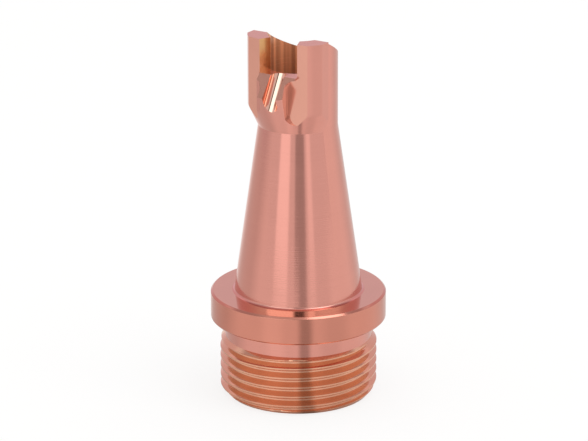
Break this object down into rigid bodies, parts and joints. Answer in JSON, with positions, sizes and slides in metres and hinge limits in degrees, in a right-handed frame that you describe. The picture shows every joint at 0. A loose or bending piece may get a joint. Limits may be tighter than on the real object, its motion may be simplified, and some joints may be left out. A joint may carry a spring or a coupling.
{
  "type": "laser welding nozzle",
  "caption": "Copper nozzle with a threaded spigot, round flange, tapered body and a slotted two-prong tip with a wire groove.",
  "frame": {"origin": "on the axis at the threaded end, centre of the bounding box's base", "axes": "+Z along the axis from the threaded end to the tip, -Y towards the side that the filler wire comes in on"},
  "size_m": [0.0178, 0.0178, 0.0377],
  "materials": {
    "copper": "satin turned copper with fine tool marks"
  },
  "bodies": {
    "root": {"nozzle": "copper"}
  },
  "joints": []
}
